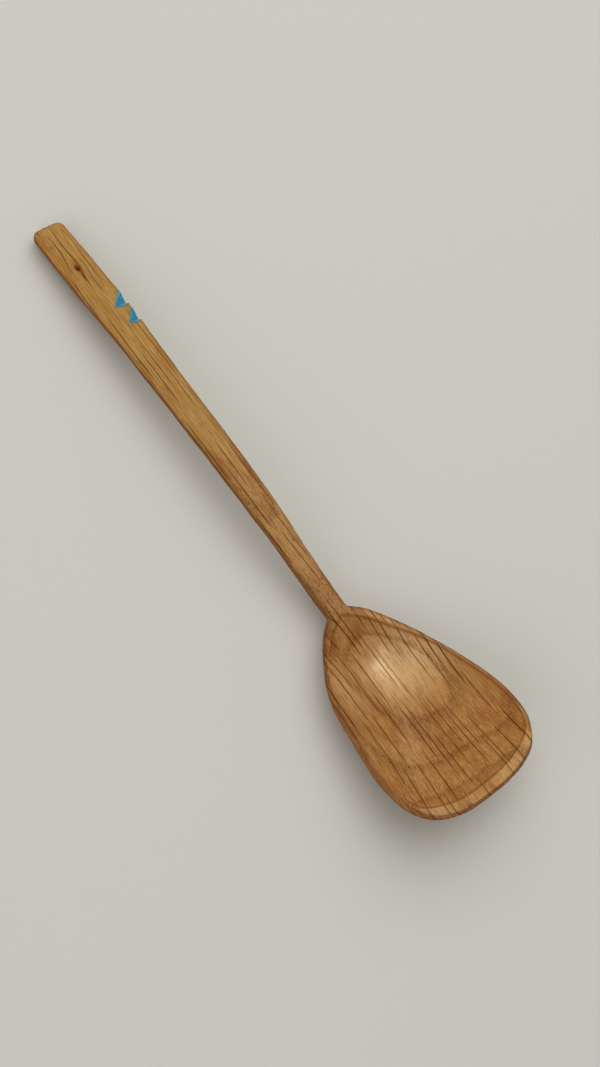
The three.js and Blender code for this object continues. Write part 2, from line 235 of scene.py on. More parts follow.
KNOT_LOW, KNOT_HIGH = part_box("pin_knot")
KNOT_MIDDLE = (KNOT_LOW + KNOT_HIGH) / 2
KNOT_REACH = (KNOT_HIGH - KNOT_LOW).length / 2
arrises = [p for p in arrises if (p - KNOT_MIDDLE).length > KNOT_REACH]
off_arris = (distance_to(arrises, spoon) - ARRIS_KEPT) / (ARRIS_FADE - ARRIS_KEPT)
faces = weigh(spoon, "faces", np.clip(off_arris, ARRIS_WEAR, 1))
apply_modifier(spoon, "SMOOTH", factor=SMOOTH_PULL, iterations=FACE_PASSES, vertex_group=faces)
spoon.vertex_groups.clear()
print("smoothed over", FACE_PASSES, "passes")

# %% [markdown]
# ## Inside the hollow
# Several steps treat the hollow in another way than the rest, because it was scraped smooth. It could be
# picked face by face. A rule is safer: a point belongs to the hollow if it faces a spot above its middle,
# and it fades out where the ramp from the handle begins.

# %% Tell the hollow from the rest
HOLLOW_MIDDLE = Vector((62, 1, 22)) * MM
HOLLOW_FACING = (0.36, 0.54)
HOLLOW_STARTS = (36 * MM, 44 * MM)


def read_points(piece, what):
    """One row of three numbers for each vertex of the piece."""
    rows = np.empty(3 * len(piece.data.vertices))
    piece.data.vertices.foreach_get(what, rows)
    return rows.reshape(-1, 3)


def in_hollow(piece):
    """How squarely each vertex faces the middle of the hollow, from 0 outside it to 1."""
    places = read_points(piece, "co")
    inward = np.array(HOLLOW_MIDDLE) - places
    inward /= np.linalg.norm(inward, axis=1)[:, None]
    facing = np.einsum("ij,ij->i", read_points(piece, "normal"), inward)
    starts = np.interp(places[:, 0], HOLLOW_STARTS, (0, 1))
    return np.interp(facing, HOLLOW_FACING, (0, 1)) * starts


print("points in the hollow:", int((in_hollow(spoon) == 1).sum()))

# %% [markdown]
# ## Uneven knife cuts
# A knife never cuts quite evenly: each face swells and dips a little where the blade was pushed harder.
# That could be sculpted stroke by stroke. A displacement by soft noise, stretched along the grain, gives
# the same unrest. It only takes wood away, it keeps off the painted cuts, the knot and the flats that
# the spoon lies on, and it is weak in the hollow.

# %% Let the faces swell and dip
PAINT_NODES = ("upper_notch_paint", "lower_notch_paint")
WOBBLE = 0.3 * MM
WOBBLE_SIZE = Vector((11, 5, 5)) * MM
WOBBLE_CLEAR = (1 * MM, 5 * MM)
WOBBLE_SCRAPED = 0.8
SOLE_CLEAR = (0.1 * MM, 1.2 * MM)


def free_to_wobble(piece):
    """How freely each vertex may sink, from 0 near what has to stay to 1."""
    coats = [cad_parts[node].data.vertices for node in PAINT_NODES]
    kept = [vertex.co for coat in coats for vertex in coat]
    free = np.interp(distance_to(kept + [KNOT_MIDDLE], piece), WOBBLE_CLEAR, (0, 1))
    free *= np.interp(read_points(piece, "co")[:, 2], SOLE_CLEAR, (0, 1))
    return free * (1 - WOBBLE_SCRAPED * in_hollow(piece))


def carve_unevenly(piece):
    """Sinks the faces of the piece by soft noise that is longer along the grain."""
    strokes = bpy.data.textures.new("knife strokes", "CLOUDS")
    strokes.noise_scale = 1.0
    bpy.ops.object.select_all(action="DESELECT")
    bpy.ops.object.empty_add()
    ruler = bpy.context.active_object
    ruler.scale = WOBBLE_SIZE
    apply_modifier(
        piece, "DISPLACE", texture=strokes, texture_coords="OBJECT", texture_coords_object=ruler,
        strength=WOBBLE, mid_level=1.0, vertex_group=weigh(piece, "free", free_to_wobble(piece)),
    )
    piece.vertex_groups.clear()
    bpy.data.objects.remove(ruler)


carve_unevenly(spoon)
print("box in mm:", [round(v / MM, 2) for v in spoon.dimensions])

# %% [markdown]
# ## The knot
# A pin knot is the stub of a thin twig that the trunk grew round. It is harder than the wood about it and
# ends in a rough dark eye. It could be a dark spot of paint, but the real one is a body of its own. The
# plug is taken from the frame, its flat top is inset twice to sink the eye, and its edge is bevelled.

# %% Shape the knot
EYE_RINGS = ((0.25 * MM, -0.02 * MM), (0.3 * MM, -0.1 * MM))
FLAT_LIMIT = math.radians(4)
LOOKS_UP = 0.8
KNOT_BEVEL = 0.06 * MM
KNOT_BEVEL_STEPS = 2
KNOT_BEVEL_ANGLE = math.radians(40)
KNOT_CRISP_ANGLE = math.radians(50)


def select_upward(piece):
    """Selects the faces that look up, in edit mode."""
    bpy.ops.object.mode_set(mode="OBJECT")
    for face in piece.data.polygons:
        face.select = face.normal.z > LOOKS_UP
    bpy.ops.object.mode_set(mode="EDIT")


def make_knot():
    """The twig's stub with its sunk eye."""
    knot = sewn_copy("pin_knot", "twig_knot")
    bpy.ops.object.mode_set(mode="EDIT")
    bpy.ops.mesh.select_mode(type="FACE")
    bpy.ops.mesh.select_all(action="SELECT")
    bpy.ops.mesh.dissolve_limited(angle_limit=FLAT_LIMIT)
    select_upward(knot)
    for width, sink in EYE_RINGS:
        bpy.ops.mesh.inset(thickness=width, depth=sink)
    bpy.ops.object.mode_set(mode="OBJECT")
    apply_modifier(
        knot, "BEVEL", width=KNOT_BEVEL, segments=KNOT_BEVEL_STEPS,
        limit_method="ANGLE", angle_limit=KNOT_BEVEL_ANGLE,
    )
    pick_only(knot)
    bpy.ops.object.shade_smooth_by_angle(angle=KNOT_CRISP_ANGLE)
    return knot


knot = make_knot()
print("knot:", len(knot.data.polygons), "faces")

# %% [markdown]
# ## The knot's seat
# A knot shrinks a little when the wood dries, so a hairline shows round it. The hole could be modelled
# into the skin. Cutting it with a copy of the plug that is a hair larger gives the same hairline all
# round, and the cutter stands above the wood so that the cut is open at the top.

# %% Cut its seat
SEAT_GAP = 0.05 * MM
SEAT_ABOVE = 0.6 * MM


def cut_away(piece, cutter):
    """Cuts one closed shape out of another and throws the cutter away."""
    apply_modifier(piece, "BOOLEAN", operation="DIFFERENCE", object=cutter, solver="MANIFOLD")
    bpy.data.objects.remove(cutter)


def cut_seat(piece):
    """Cuts a seat for the knot, a hair wider than the knot and open at the top."""
    cutter = sewn_copy("pin_knot", "seat_cutter")
    grown = [(side + 2 * SEAT_GAP) / side for side in KNOT_HIGH - KNOT_LOW]
    for vertex in cutter.data.vertices:
        way = vertex.co - KNOT_MIDDLE
        vertex.co = KNOT_MIDDLE + Vector(w * g for w, g in zip(way, grown))
        if way.z > 0:
            vertex.co.z += SEAT_ABOVE
    cut_away(piece, cutter)


cut_seat(spoon)
print("skin with seat:", len(spoon.data.polygons), "faces")

# %% [markdown]
# ## The nick at the shoulder
# Where the handle's left face runs into the bowl's shoulder, the knife was stopped and lifted out a small
# chip. It could be pressed into the skin by moving points, but a chip has sharp sides. So a wedge, given
# by the three corners of its inner end and the three of its mouth, is cut out.

# %% Nick the left shoulder
NICK_END = ((41.0, -3.2, 10.9), (41.0, -3.5, 10.4), (41.0, -4.0, 10.9))
NICK_MOUTH = ((36.2, -2.9, 12.2), (36.2, -4.5, 8.4), (36.2, -8.5, 12.5))
NICK_FACES = ((0, 1, 2), (5, 4, 3), (0, 3, 4, 1), (1, 4, 5, 2), (2, 5, 3, 0))


def nick_shoulder(piece):
    """Cuts the small wedge where the handle's left face was stopped at the shoulder."""
    mesh = bpy.data.meshes.new("nick")
    mesh.from_pydata([Vector(p) * MM for p in NICK_END + NICK_MOUTH], [], NICK_FACES)
    cutter = add_object("nick_cutter", mesh)
    pick_only(cutter)
    bpy.ops.object.mode_set(mode="EDIT")
    bpy.ops.mesh.select_all(action="SELECT")
    bpy.ops.mesh.normals_make_consistent(inside=False)
    bpy.ops.object.mode_set(mode="OBJECT")
    cut_away(piece, cutter)


nick_shoulder(spoon)
print("skin with nick:", len(spoon.data.polygons), "faces")

# %% [markdown]
# ## Put the wood on the frame
# The small faces must not show, but the arrises must. Shading that is smooth except where faces meet at
# an angle does both. The spoon and its knot then ride on the frame's only body and stand for its solids.

# %% Shade and ride
CRISP_ANGLE = math.radians(35)
pick_only(spoon)
bpy.ops.object.shade_smooth_by_angle(angle=CRISP_ANGLE)
for piece, node, slot in ((spoon, "carved_spoon", "oak"), (knot, "pin_knot", "knot_wood")):
    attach(piece, "root")
    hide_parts(node)
print("spoon box in mm:", [round(v / MM, 2) for v in spoon.dimensions])

# %% [markdown]
# ## Where the wood is burnished
# The handle and the rim's land are left as the knife cut them. The hollow is scraped and oiled more, and
# its deepest part is rubbed to a sheen that stops short of the rim. These could be separate materials,
# but then they would meet in hard lines. A number kept on each point fades softly, and a material can
# read it.

# %% Mark the hollow and its sheen
BURNISH_FROM_ARRIS = (1.0 * MM, 5.0 * MM)
BURNISH_ALONG = (57 * MM, 69 * MM)
BURNISH_FRONT = 0.15


def store(piece, name, values):
    """Keeps one number per vertex under a name that materials can read."""
    piece.data.attributes.new(name, "FLOAT", "POINT").data.foreach_set("value", values)


hollow = in_hollow(spoon)
from_arris = distance_to(arrises, spoon)
along, across, _ = read_points(spoon, "co").T
rubbed = np.interp(from_arris, BURNISH_FROM_ARRIS, (0, 1))
rubbed *= np.interp(along, BURNISH_ALONG, (1, BURNISH_FRONT))
store(spoon, "hollow", hollow)
store(spoon, "burnish", hollow * rubbed)
print("burnished share of the points:", round(float((hollow * rubbed).mean()), 3))

# %% [markdown]
# ## The line under the rim
# A thin dark line of painted shade runs in the corner where the hollow meets the rim's land, where the
# wall steps down from the land. On the left the line fades. A painted line would need a drawn path. The
# distance from an arris, kept to the hollow's side, gives the same line.

# %% Mark the line under the rim
RIM_SHADE_REACH = (0.35 * MM, 1.1 * MM)
RIM_SHADE_FADE = 0.85
RIM_SHADE_FADE_ACROSS = (-12 * MM, -2 * MM)
RIM_SHADE_FADE_ALONG = (80 * MM, 92 * MM)

# The line under the rim is painted shade, faded out on the left.
line = hollow * np.interp(from_arris, RIM_SHADE_REACH, (1, 0))
shade_fade = np.interp(across, RIM_SHADE_FADE_ACROSS, (RIM_SHADE_FADE, 0))
shade_fade *= np.interp(along, RIM_SHADE_FADE_ALONG, (1, 0))
store(spoon, "rim", line * (1 - shade_fade))
print("points under the rim:", int((line > 0).sum()))

# %% [markdown]
# ## The outside
# The walls and the back are darker and redder than the top: redder as wood is where it drinks more oil,
# and darker as painted shade where they turn away from the light. A narrow margin on the top beside each
# wall is painted dark too, as shade along its edge, less on the handle, and so is the narrow land on the
# left, as painted shade. Three stains would add up where they meet. So they are marked as one outside,
# the strongest at each point.

# %% Mark the outside
OUTSIDE_FACING = (-0.8, -0.35)
WALL_SHADE_MARGIN = (0.2 * MM, 1.2 * MM)
SHADE_MARGIN_ALONG = (0 * MM, 50 * MM)
HANDLE_SHADE_MARGIN = 0.4
LEFT_RIM_SHADE = 0.7
LEFT_RIM_SHADE_ACROSS = (-12 * MM, -8 * MM)
LEFT_RIM_SHADE_ALONG = (38 * MM, 46 * MM, 88 * MM, 95 * MM)

turned = np.interp(-read_points(spoon, "normal")[:, 2], OUTSIDE_FACING, (0, 1))
walls = [v.co for v, share in zip(spoon.data.vertices, turned) if share == 1]
# The margin beside the walls and the narrow land on the left are painted shade.
shade_margin = np.interp(distance_to(walls, spoon), WALL_SHADE_MARGIN, (1, 0))
shade_margin *= np.interp(along, SHADE_MARGIN_ALONG, (HANDLE_SHADE_MARGIN, 1))
left_shade = np.interp(across, LEFT_RIM_SHADE_ACROSS, (LEFT_RIM_SHADE, 0))
left_shade *= np.interp(along, LEFT_RIM_SHADE_ALONG, (0, 1, 1, 0))
store(spoon, "outside", (1 - hollow) * np.maximum(np.maximum(turned, shade_margin), left_shade))
print("points on the walls and the back:", len(walls))

# %% [markdown]
# ## Small helpers for shader nodes
# A material made of nodes is a small program. These helpers write one node per call, so that a grain
# or a coat of paint reads as a few steps of arithmetic instead of pages of node settings.

# %% Arithmetic with nodes


def feed(tree, socket, value):
    """Gives an input a number or a colour, or wires another node's output to it."""
    if isinstance(value, bpy.types.NodeSocket):
        tree.links.new(value, socket)
    else:
        socket.default_value = value


def add_node(tree, kind, *values):
    """A new node, its inputs fed in their order."""
    made = tree.nodes.new("ShaderNode" + kind)
    for socket, value in zip(made.inputs, values):
        feed(tree, socket, value)
    return made


def math_step(tree, operation, *values):
    """One step of arithmetic on values that change over the surface."""
    made = add_node(tree, "Math", *values)
    made.operation = operation
    return made.outputs[0]


def times(tree, first, *others):
    """The product of values that change over the surface."""
    for other in others:
        first = math_step(tree, "MULTIPLY", first, other)
    return first


def vector_step(tree, operation, *values):
    """One step of arithmetic on points."""
    made = add_node(tree, "VectorMath", *values)
    made.operation = operation
    return made.outputs["Value" if operation in ("LENGTH", "DOT_PRODUCT") else "Vector"]


print("arithmetic ready")

# %% Points and ramps with nodes


def split(tree, point):
    """The three coordinates of a point."""
    return add_node(tree, "SeparateXYZ", point).outputs


def joined(tree, x, y, z):
    """A point from three coordinates."""
    return add_node(tree, "CombineXYZ", x, y, z).outputs[0]


def ramp_between(tree, value, start, end, low=0.0, high=1.0):
    """A smooth ramp from low to high while value goes from start to end."""
    made = tree.nodes.new("ShaderNodeMapRange")
    made.interpolation_type = "SMOOTHSTEP"
    names = ("Value", "From Min", "From Max", "To Min", "To Max")
    for name, number in zip(names, (value, start, end, low, high)):
        feed(tree, made.inputs[name], number)
    return made.outputs["Result"]


def by_mask(tree, mask, low, high):
    """A value that is low where a mask is 0 and high where it is 1."""
    return ramp_between(tree, mask, 0.0, 1.0, low, high)


print("points and ramps ready")

# %% Patterns with nodes


def per_mm(tree, point, x, y, z):
    """A point in units of x, y and z millimetres, for a pattern of that size."""
    return vector_step(tree, "MULTIPLY", point, (1 / x, 1 / y, 1 / z))


def soft_noise(tree, point, size, detail=2.0, roughness=0.5):
    """Soft noise at a point, with bumps of about the given size in millimetres."""
    made = tree.nodes.new("ShaderNodeTexNoise")
    made.inputs["Scale"].default_value = 1.0
    made.inputs["Detail"].default_value = detail
    made.inputs["Roughness"].default_value = roughness
    feed(tree, made.inputs["Vector"], per_mm(tree, point, *size))
    return made.outputs


def cells_at(tree, point):
    """Scattered points, about one per unit cube, with the distance to the nearest one."""
    made = tree.nodes.new("ShaderNodeTexVoronoi")
    made.inputs["Scale"].default_value = 1.0
    feed(tree, made.inputs["Vector"], point)
    return made


def dice(tree, number):
    """A random value for a number, always the same one for the same number."""
    made = tree.nodes.new("ShaderNodeTexWhiteNoise")
    made.noise_dimensions = "1D"
    feed(tree, made.inputs["W"], number)
    return made.outputs["Value"]


def stain(tree, mask, ground, colour):
    """A colour laid over a ground where the mask says."""
    made = tree.nodes.new("ShaderNodeMix")
    made.data_type = "RGBA"
    # A Mix node has sockets for each kind of data. Its colours are inputs 6 and 7 and output 2.
    for socket, value in zip((0, 6, 7), (mask, ground, colour)):
        feed(tree, made.inputs[socket], value)
    return made.outputs[2]


print("patterns ready")

# %% Groups of nodes


def node_group(name, inputs, outputs):
    """An empty shader group that is given a point and some numbers, and puts out named values."""
    tree = bpy.data.node_groups.new(name, "ShaderNodeTree")
    add = tree.interface.new_socket
    add("Point", in_out="INPUT", socket_type="NodeSocketVector")
    for socket_name, value in inputs.items():
        add(socket_name, in_out="INPUT", socket_type="NodeSocketFloat").default_value = value
    for socket_name in outputs:
        kind = "NodeSocketVector" if socket_name == "Point" else "NodeSocketFloat"
        add(socket_name, in_out="OUTPUT", socket_type=kind)
    return tree, tree.nodes.new("NodeGroupInput").outputs, tree.nodes.new("NodeGroupOutput").inputs


def use_group(tree, group, **values):
    """Places a group in a material, with its own values."""
    made = tree.nodes.new("ShaderNodeGroup")
    made.node_tree = group
    for name, value in values.items():
        feed(tree, made.inputs[name], value)
    return made.outputs


print("groups ready")

# %% [markdown]
# ## Oak: the billet in the tree
# Oak has three directions: along the trunk, round it, and out from its middle. Rays and rings follow
# them, so a group turns each point of the spoon into these three. A straight box of grain would look
# sawn. This billet was split a little askew, its grain wanders, it parts and closes again round the
# knot, and a dark swirl trails behind the knot.

# %% Let the grain wander and part
WANDER = 1.6
WANDER_SIZE = (46, 17, 15)
MID_NOISE = 0.5
MID_GREY = (MID_NOISE, MID_NOISE, MID_NOISE)
KNOT_PARTING = (8.0, 3.4, 6.0)
PARTING = 0.8


def bend_grain(tree, point, from_knot):
    """The point as the grain carries it, and how near the knot it is."""
    wander = soft_noise(tree, point, WANDER_SIZE, detail=1.0)["Color"]
    wander = vector_step(tree, "SUBTRACT", wander, MID_GREY)
    wander = vector_step(tree, "MULTIPLY", wander, (0.0, WANDER, WANDER))
    bent = vector_step(tree, "ADD", point, wander)
    reach = vector_step(tree, "LENGTH", per_mm(tree, from_knot, *KNOT_PARTING))
    near = ramp_between(tree, reach, 1.0, 0.0)
    squeeze = vector_step(tree, "MULTIPLY", from_knot, (0.0, -PARTING, 0.0))
    squeeze = vector_step(tree, "MULTIPLY", squeeze, joined(tree, near, near, near))
    return vector_step(tree, "ADD", bent, squeeze), near


print("grain wanders by up to", WANDER / 2, "mm")

# %% Find the trunk's directions
RAY_TILT = math.radians(17)
ACROSS_PLATES = (0, math.cos(RAY_TILT), math.sin(RAY_TILT))
ALONG_PLATES = (0, -math.sin(RAY_TILT), math.cos(RAY_TILT))
TRUNK_RADIUS = 95.0
RING_RISE = (-0.062, -0.075, 1.0)
RING_CURVE = -0.0066


def trunk_point(tree, bent):
    """How far a point is along the trunk, round it, and out from its middle, in millimetres."""
    along_trunk, across_top, _ = split(tree, bent)
    sideways = vector_step(tree, "DOT_PRODUCT", bent, ACROSS_PLATES)
    up = vector_step(tree, "DOT_PRODUCT", bent, ALONG_PLATES)
    round_trunk = math_step(tree, "DIVIDE", sideways, math_step(tree, "ADD", up, TRUNK_RADIUS))
    round_trunk = times(tree, round_trunk, TRUNK_RADIUS)
    out = times(tree, across_top, across_top, RING_CURVE)
    out = math_step(tree, "ADD", out, vector_step(tree, "DOT_PRODUCT", bent, RING_RISE))
    return joined(tree, along_trunk, round_trunk, out)


print("rays lean by", round(math.degrees(RAY_TILT)), "degrees")

# %% Billet group
SWIRL_AT = (3.3, -0.1, 0.0)
SWIRL_SIZE = (2.6, 0.45, 3.0)
SWIRL_EDGE = (1.0, 0.5)
CURL = (2.0, 1.6, 0)
CURL_SIZE = (2.2, 0.9, 2)


def swirl_tail(tree, point, from_knot):
    """The curled dark tail behind the knot."""
    curl = soft_noise(tree, point, CURL_SIZE)["Color"]
    curl = vector_step(tree, "MULTIPLY", vector_step(tree, "SUBTRACT", curl, MID_GREY), CURL)
    from_tail = vector_step(tree, "SUBTRACT", vector_step(tree, "ADD", from_knot, curl), SWIRL_AT)
    tail = vector_step(tree, "LENGTH", per_mm(tree, from_tail, *SWIRL_SIZE))
    return ramp_between(tree, tail, *SWIRL_EDGE)


def make_billet_group():
    """Turns a point of the spoon into a point of the tree."""
    tree, given, result = node_group("Oak billet", {}, ("Point", "Near knot", "Swirl"))
    from_knot = vector_step(tree, "SUBTRACT", given["Point"], tuple(KNOT_MIDDLE / MM))
    bent, near = bend_grain(tree, given["Point"], from_knot)
    feed(tree, result["Point"], trunk_point(tree, bent))
    feed(tree, result["Near knot"], near)
    feed(tree, result["Swirl"], swirl_tail(tree, given["Point"], from_knot))
    return tree


BILLET = make_billet_group()
print("billet group:", len(BILLET.nodes), "nodes")

# %% [markdown]
# ## Oak: rays
# Oak has broad rays, thin plates of tissue that stand on edge and point at the middle of the trunk. On
# the top of the spoon they are cut across and show as dark dashes with tapered ends. Dashes could be
# drawn one by one. Here the wood is sliced into thin leaves, one for each ray. Each leaf has its own run
# of dashes, out of step with its neighbours, and a slow noise shifts where they start and end.

# %% Run of a ray along its leaf
PLATE_HEIGHT = 14.0
OUT_OF_STEP = 0.382
RAY_STRIDE = (0.8, 1.2)
RAY_DRIFT = 0.7
RAY_HEAD = 0.2
RAY_TAIL = 0.7


def ray_swell(tree, given, along_trunk, out, leaf):
    """How thick a leaf's ray is at each point, from 0 between two dashes to 1."""
    steps = math_step(tree, "DIVIDE", along_trunk, given["Length"])
    drift = joined(tree, steps, leaf, math_step(tree, "DIVIDE", out, PLATE_HEIGHT))
    drift = soft_noise(tree, drift, (1, 1, 1), detail=1.0)[0]
    stride = times(tree, given["Length"], by_mask(tree, dice(tree, leaf), *RAY_STRIDE))
    run = math_step(tree, "DIVIDE", along_trunk, stride)
    run = math_step(tree, "ADD", run, times(tree, leaf, OUT_OF_STEP))
    run = math_step(tree, "FRACT", math_step(tree, "ADD", run, times(tree, drift, RAY_DRIFT)))
    tail = ramp_between(tree, run, given["Share"], times(tree, given["Share"], RAY_TAIL))
    return times(tree, ramp_between(tree, run, 0.0, RAY_HEAD), tail)


print("a dash swells over the first", RAY_HEAD, "of its stride")

# %% Rays group
BROAD_RAYS = {"Spacing": 1.5, "Length": 42.0, "Share": 0.62, "Width": 0.23}
RAY_MIDDLE = (0.3, 0.7)
RAY_STRENGTH = (0.7, 1.0)
MIDDLE_DRAW = 0.5  # added to a leaf's number, so that it draws another lot
STRENGTH_DRAW = 0.25
RAY_SOFT_EDGE = 0.55
RAY_POINT = 0.35
LEAST_HALF_WIDTH = 0.0005


def make_rays_group():
    """A mask of dashes, one leaf of wood to each line of them."""
    tree, given, result = node_group("Oak rays", BROAD_RAYS, ("Mask",))
    along_trunk, round_trunk, out = split(tree, given["Point"])
    leaves = math_step(tree, "DIVIDE", round_trunk, given["Spacing"])
    leaf = math_step(tree, "FLOOR", leaves)
    swell = ray_swell(tree, given, along_trunk, out, leaf)
    half = math_step(tree, "ADD", times(tree, swell, given["Width"]), LEAST_HALF_WIDTH)
    middle = by_mask(tree, dice(tree, math_step(tree, "ADD", leaf, MIDDLE_DRAW)), *RAY_MIDDLE)
    away = math_step(tree, "SUBTRACT", math_step(tree, "FRACT", leaves), middle)
    away = times(tree, math_step(tree, "ABSOLUTE", away), given["Spacing"])
    line = ramp_between(tree, away, half, times(tree, half, RAY_SOFT_EDGE))
    line = times(tree, line, ramp_between(tree, swell, 0.0, RAY_POINT))
    strength = by_mask(tree, dice(tree, math_step(tree, "ADD", leaf, STRENGTH_DRAW)), *RAY_STRENGTH)
    feed(tree, result["Mask"], times(tree, line, strength))
    return tree


RAYS = make_rays_group()
print("rays group:", len(RAYS.nodes), "nodes")

# %% [markdown]
# ## Oak: growth rings
# The rings lie almost flat under the spoon. The hollow cuts down through them, which draws nested arcs,
# and the handle crosses a few of them in bands. Each ring starts with a band of early wood that fades
# into denser wood. A texture of circles would look like a target. Counting the years by the distance out
# from the trunk's middle, with a ripple, puts the arcs where the carving cuts the rings.

# %% Rings group
RING_SPACING = 5.4
RING_START = 0.57
RIPPLE = 2.4
RIPPLE_SIZE = (5, 1.6, 9)
EARLY_ONSET = (0.0, 0.1)
EARLY_FADE = (0.42, 0.06)


def make_rings_group():
    """A mask of the early wood in each year's ring."""
    tree, given, result = node_group("Oak rings", {}, ("Early wood",))
    ripple = soft_noise(tree, given["Point"], RIPPLE_SIZE, detail=4.0, roughness=0.7)[0]
    ripple = times(tree, math_step(tree, "SUBTRACT", ripple, MID_NOISE), RIPPLE)
    depth = math_step(tree, "ADD", split(tree, given["Point"])[2], ripple)
    years = math_step(tree, "ADD", math_step(tree, "DIVIDE", depth, RING_SPACING), RING_START)
    phase = math_step(tree, "FRACT", years)
    onset = ramp_between(tree, phase, *EARLY_ONSET)
    fade = ramp_between(tree, phase, *EARLY_FADE)
    feed(tree, result["Early wood"], times(tree, onset, fade))
    return tree


RINGS = make_rings_group()
print("rings group:", len(RINGS.nodes), "nodes")

# %% [markdown]
# ## Oak: pores
# The early wood is full of open pores. A pore is a thin tube along the grain: a dash where it is cut
# lengthwise, a dot where it is cut across. A drawn dash would stay a dash at every cut. Scattered points
# in a stretched space give both, because the carving cuts the stretched cells as it cuts the tubes.

# %% Pores group
PLAIN_PORES = {"Share": 0.85, "Size": 0.46}
PORE_SPREAD = (0.5, 1.0)
PORE_SOFT_EDGE = 0.5


def make_pores_group():
    """A mask of small tubes. Their length comes from the point that is given."""
    tree, given, result = node_group("Oak pores", PLAIN_PORES, ("Mask",))
    cells = cells_at(tree, given["Point"])
    chance = add_node(tree, "SeparateColor", cells.outputs["Color"])
    size = times(tree, given["Size"], by_mask(tree, chance.outputs[1], *PORE_SPREAD))
    present = math_step(tree, "LESS_THAN", chance.outputs[0], given["Share"])
    tube = ramp_between(tree, cells.outputs["Distance"], size, times(tree, size, PORE_SOFT_EDGE))
    feed(tree, result["Mask"], times(tree, tube, present))
    return tree


PORES = make_pores_group()
print("pores group:", len(PORES.nodes), "nodes")

# %% [markdown]
# ## Oiled oak: the place on the spoon
# The wood changes over the spoon: golden at the handle's end, warmer towards the bowl, full of pores at
# the neck, and with long rays on the left wall of the hollow. Each change could be a material of its own.
# Masks by place, read once and kept together, let one material hold them all without a seam.

# %% Read the place
IN_BOWL = (-60, 60)
NECK_STARTS = (23, 27)
NECK_ENDS = (36, 31)
LEFT_WALL_ACROSS = (-4, -11)
LEFT_WALL_ALONG = (72, 62)


def object_point(tree):
    """The surface point in the spoon's own frame, in millimetres."""
    place = tree.nodes.new("ShaderNodeTexCoord").outputs["Object"]
    return vector_step(tree, "MULTIPLY", place, (1 / MM, 1 / MM, 1 / MM))


def stored(tree, name):
    """A number that was kept on the piece's points."""
    made = tree.nodes.new("ShaderNodeAttribute")
    made.attribute_name = name
    return made.outputs["Fac"]


def read_place(tree):
    """Where each point is on the spoon and in the tree."""
    grain = SimpleNamespace(point=object_point(tree))
    grain.x, grain.y, _ = split(tree, grain.point)
    grain.hollow = stored(tree, "hollow")
    grain.outside = stored(tree, "outside")
    grain.in_bowl = ramp_between(tree, grain.x, *IN_BOWL)
    neck_starts = ramp_between(tree, grain.x, *NECK_STARTS)
    grain.at_neck = times(tree, neck_starts, ramp_between(tree, grain.x, *NECK_ENDS))
    on_left = ramp_between(tree, grain.y, *LEFT_WALL_ACROSS)
    grain.left_wall = times(tree, on_left, ramp_between(tree, grain.x, *LEFT_WALL_ALONG))
    billet = use_group(tree, BILLET, Point=grain.point)
    grain.wood = billet["Point"]
    grain.near_knot = billet["Near knot"]
    grain.swirl = billet["Swirl"]
    return grain


print("places: bowl, neck, left wall, hollow, outside, knot")

# %% [markdown]
# ## Oiled oak: the grain
# The groups now get their values. Each place could have its own texture, but the lines would break off
# between them. Values that change by place keep each line whole. Rings show from the middle of the handle
# on, and faintly on the left wall. Pores open in the early wood and at the neck. Broad rays are a little
# wider in the bowl, longer on the left wall, and faint where an outer wall runs along their plates. Fine
# rays, long pores, fibres and specks fill the wood between them.

# %% Read the rings, pores and fibres
RINGS_ALONG = (-55, -15)
LEFT_WALL_RINGS = (1.0, 0.35)
PORE_SIZE = (0.95, 0.36, 0.4)
SHORT_PORES = {"Share": 1.0, "Size": 0.6}
NECK_PORES = 0.8
DASH_SIZE = (3.6, 0.36, 0.36)
LONG_PORES = {"Share": 0.4}
PATCH_SIZE = (24, 7, 7)
FIBRE_SIZE = (10, 0.34, 0.9)
SPECK_SIZE = (2.4, 0.27, 0.7)


def read_rings(tree, grain):
    """Adds the early wood of the rings and the pores that open in it."""
    early = use_group(tree, RINGS, Point=grain.wood)["Early wood"]
    early = times(tree, early, ramp_between(tree, grain.x, *RINGS_ALONG))
    grain.early = times(tree, early, by_mask(tree, grain.left_wall, *LEFT_WALL_RINGS))
    opened = math_step(tree, "MAXIMUM", grain.early, times(tree, grain.at_neck, NECK_PORES))
    pores = use_group(tree, PORES, Point=per_mm(tree, grain.wood, *PORE_SIZE), **SHORT_PORES)["Mask"]
    grain.pores = times(tree, pores, opened)
    dashes = use_group(tree, PORES, Point=per_mm(tree, grain.wood, *DASH_SIZE), **LONG_PORES)
    grain.dashes = dashes["Mask"]


def read_fibres(tree, grain):
    """Adds the russet patches, the fibres and the specks."""
    grain.patches = soft_noise(tree, grain.wood, PATCH_SIZE)[0]
    grain.fibres = soft_noise(tree, grain.wood, FIBRE_SIZE, detail=3.0, roughness=0.6)[0]
    grain.specks = soft_noise(tree, grain.wood, SPECK_SIZE, detail=1.0)[0]


print("fibres are", FIBRE_SIZE[1], "mm wide")

# %% Read the rays
RAY_WIDTH = (0.19, 0.23)
RAY_SHARE = (0.62, 0.95)
PLATE_FACING = (0.97, 0.8, 0.2, 1.0)
FINE_RAYS = {"Spacing": 0.8, "Length": 13.0, "Share": 0.4, "Width": 0.12}


